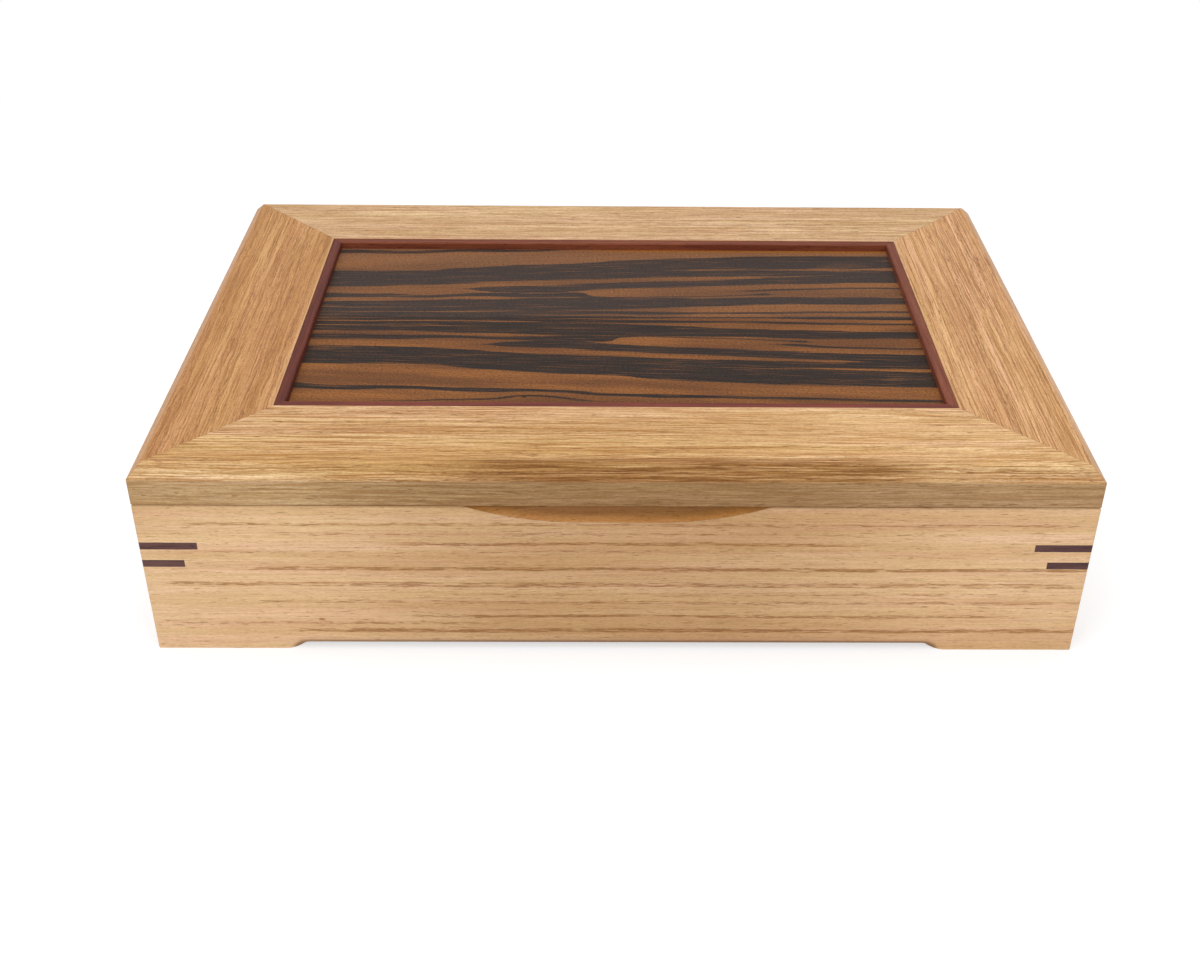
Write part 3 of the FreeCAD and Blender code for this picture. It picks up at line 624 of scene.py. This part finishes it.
# The trim strips differ a little in colour: base, light and dark
for side, axes, seed, *colours in (
        ("front", "xyz", 11, (104, 47, 38), (124, 60, 47), (74, 30, 26)),
        ("back", "xyz", 14, (112, 56, 37), (130, 70, 46), (80, 34, 24)),
        ("left", "yxz", 12, (88, 38, 26), (106, 49, 35), (58, 24, 18)),
        ("right", "yxz", 12, (118, 63, 44), (136, 76, 54), (86, 40, 29))):
    give(fine_wood("trim_" + side, axes, seed, *colours), "lid_trim_" + side)
KEY_COLOURS = (86, 59, 58), (102, 72, 68), (58, 38, 40)
KEY_SEEDS = {"front_left": 23, "front_right": 24, "back_left": 22, "back_right": 23}
TONGUE_COLOURS = (214, 184, 140), (222, 194, 152), (180, 146, 104)
for corner, seed in KEY_SEEDS.items():
    for level in ("upper", "lower"):
        key = corner + "_" + level
        give(fine_wood("key_" + key, "xyz", seed, *KEY_COLOURS), "corner_key_" + key)
    give(fine_wood("tongue_" + corner, "xyz", 30, *TONGUE_COLOURS), "mitre_tongue_" + corner)
give(fine_wood("birch_ply", "xyz", 31, (222, 198, 160), (230, 208, 172), (196, 164, 122), 0.55),
     "base_panel")
give(fine_wood("fibreboard", "xyz", 32, (160, 128, 92), (168, 136, 100), (140, 108, 76), 0.7),
     "lid_panel_core")
give(ebony("striped_ebony"), "lid_panel_veneer")
BRASS = brass("brass")
for side in ("left", "right"):
    for part in ("body_leaf", "lid_leaf", "pin", "body_screws", "lid_screws"):
        give(BRASS, "hinge_" + side + "_" + part)


def add_object(name, data):
    item = bpy.data.objects.new(name, data)
    bpy.context.scene.collection.objects.link(item)
    return item


# Suede-faced lining board, a soft sheet with rolled edges in the place of the plain board
LINING_STEPS = (72, 48)
LINING_ROLL = 1.5 * MM
LINING_EDGE = 0.35      # height of its very edge, as a share of its thickness


def lining():
    low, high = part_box("base_lining")
    steps_x, steps_y = LINING_STEPS
    vertices, faces = [], []
    thickness = high.z - low.z
    for row in range(steps_y + 1):
        for column in range(steps_x + 1):
            x = low.x + (high.x - low.x) * column / steps_x
            y = low.y + (high.y - low.y) * row / steps_y
            rim = min(x - low.x, high.x - x, y - low.y, high.y - y)
            roll = math.sqrt(max(0.0, 1 - (1 - min(rim / LINING_ROLL, 1.0)) ** 2))
            height = LINING_EDGE + (1 - LINING_EDGE) * roll
            vertices.append((x, y, low.z + thickness * height))
    wide = steps_x + 1
    for row in range(steps_y):
        for column in range(steps_x):
            first = row * wide + column
            faces.append((first, first + 1, first + 1 + wide, first + wide))
    mesh = bpy.data.meshes.new("lining_suede")
    mesh.from_pydata(vertices, [], faces)
    mesh.shade_smooth()
    mesh.materials.append(suede("suede"))
    piece = add_object("lining_suede", mesh)
    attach(piece, "box")
    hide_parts("base_lining")


lining()

# Camera: place in metres, pitch down, yaw and roll in degrees, and a focal length and optical
# axis in pixels of the image
CAMERA_PLACE = (-0.00744, -0.58479, 0.37874)
CAMERA_TURN = (33.157, -0.8195, -0.6529)
FOCAL_PIXELS = 1493.2
AXIS_PIXEL = (615.86, 479.33)
IMAGE_SIZE = (1200, 960)
SENSOR_WIDTH = 36.0


def camera():
    pitch, yaw, roll = (math.radians(angle) for angle in CAMERA_TURN)
    turn = Matrix.Rotation(yaw, 3, "Z")
    right = turn @ Vector((1, 0, 0))
    level = turn @ Vector((0, 1, 0))
    down = Vector((0, 0, -1))
    forward = math.cos(pitch) * level + math.sin(pitch) * down
    below = math.cos(pitch) * down - math.sin(pitch) * level
    side = math.cos(roll) * right + math.sin(roll) * below
    below = math.cos(roll) * below - math.sin(roll) * right
    data = bpy.data.cameras.new("camera")
    data.sensor_fit = "HORIZONTAL"
    data.sensor_width = SENSOR_WIDTH
    data.lens = FOCAL_PIXELS / IMAGE_SIZE[0] * SENSOR_WIDTH
    data.shift_x = (IMAGE_SIZE[0] / 2 - AXIS_PIXEL[0]) / IMAGE_SIZE[0]
    data.shift_y = (AXIS_PIXEL[1] - IMAGE_SIZE[1] / 2) / IMAGE_SIZE[0]
    item = add_object("camera", data)
    rotation = Matrix((side, -below, -forward)).transposed()
    item.matrix_world = Matrix.Translation(CAMERA_PLACE) @ rotation.to_4x4()
    bpy.context.scene.camera = item


# Floor, world and lamps. Floor and world are white for the camera, reflections and glass, and
# plain grey for all other rays, so that they light the box softly.
FLOOR_HALF = 12.0
FLOOR_GREY = (0.92, 0.92, 0.92, 1.0)
FLOOR_SHADED = (0.54, 0.56, 0.58)       # the share of the seen floor that takes the shadow
FLOOR_GLOW = 0.52
FLOOR_NEAR, FLOOR_FAR = 0.3, 0.75       # metres from the middle over which the shadow fades out
WORLD_LIGHT = 0.4
# Name, place, target, size and watts
LAMPS = [
    ("softbox_top", (-0.1, 0.0, 1.7), (0, 0, 0), (1.8, 1.4), 18),
    ("softbox_left", (-1.1, -1.3, 0.8), (0, 0, 0.04), (0.9, 0.7), 8),
    ("softbox_right", (1.1, -1.3, 0.8), (0, 0, 0.04), (0.9, 0.7), 7.2),
]


def seen_rays(tree):
    """1 for rays from the camera, from a reflection or through glass."""
    rays = tree.node("LightPath").outputs
    seen = tree.math("MAXIMUM", rays["Is Camera Ray"], rays["Is Glossy Ray"])
    return tree.math("MAXIMUM", seen, rays["Is Transmission Ray"])


def floor():
    mesh = bpy.data.meshes.new("floor")
    corners = [(x * FLOOR_HALF, y * FLOOR_HALF, 0) for x, y in ((-1, -1), (1, -1), (1, 1), (-1, 1))]
    mesh.from_pydata(corners, [], [(0, 1, 2, 3)])
    item = add_object("floor", mesh)
    tree = new_tree("floor")
    place = tree.node("TexCoord").outputs["Object"]
    away = tree.node("VectorMath", place, operation="LENGTH").outputs["Value"]
    far = tree.span(away, FLOOR_NEAR, FLOOR_FAR)
    grey = [tree.span(far, 0.0, 1.0, value, 0.0) for value in FLOOR_SHADED]
    lit = tree.node("BsdfDiffuse", tree.vector(*grey)).outputs[0]
    glow = tree.node("Emission", WHITE, tree.span(far, 0.0, 1.0, FLOOR_GLOW, 1.0)).outputs[0]
    shown = tree.node("AddShader", lit, glow).outputs[0]
    plain = tree.node("BsdfDiffuse", FLOOR_GREY).outputs[0]
    both = tree.node("MixShader", seen_rays(tree), plain, shown).outputs[0]
    tree.fill(tree.nodes["Material Output"], Surface=both)
    mesh.materials.append(tree.owner)


def world():
    made = bpy.data.worlds.new("studio")
    tree = Tree(made)
    strength = tree.node("MapRange", seen_rays(tree), 0.0, 1.0, WORLD_LIGHT, 1.0).outputs[0]
    tree.fill(tree.nodes["Background"], Color=WHITE, Strength=strength)
    bpy.context.scene.world = made


def area_light(name, place, target, size, power):
    data = bpy.data.lights.new(name, "AREA")
    data.shape = "RECTANGLE"
    data.size, data.size_y = size
    data.energy = power
    item = add_object(name, data)
    item.location = place
    item.rotation_euler = (Vector(target) - Vector(place)).to_track_quat("-Z", "Y").to_euler()


camera()
floor()
world()
for lamp in LAMPS:
    area_light(*lamp)
bpy.context.scene.view_settings.view_transform = "Standard"
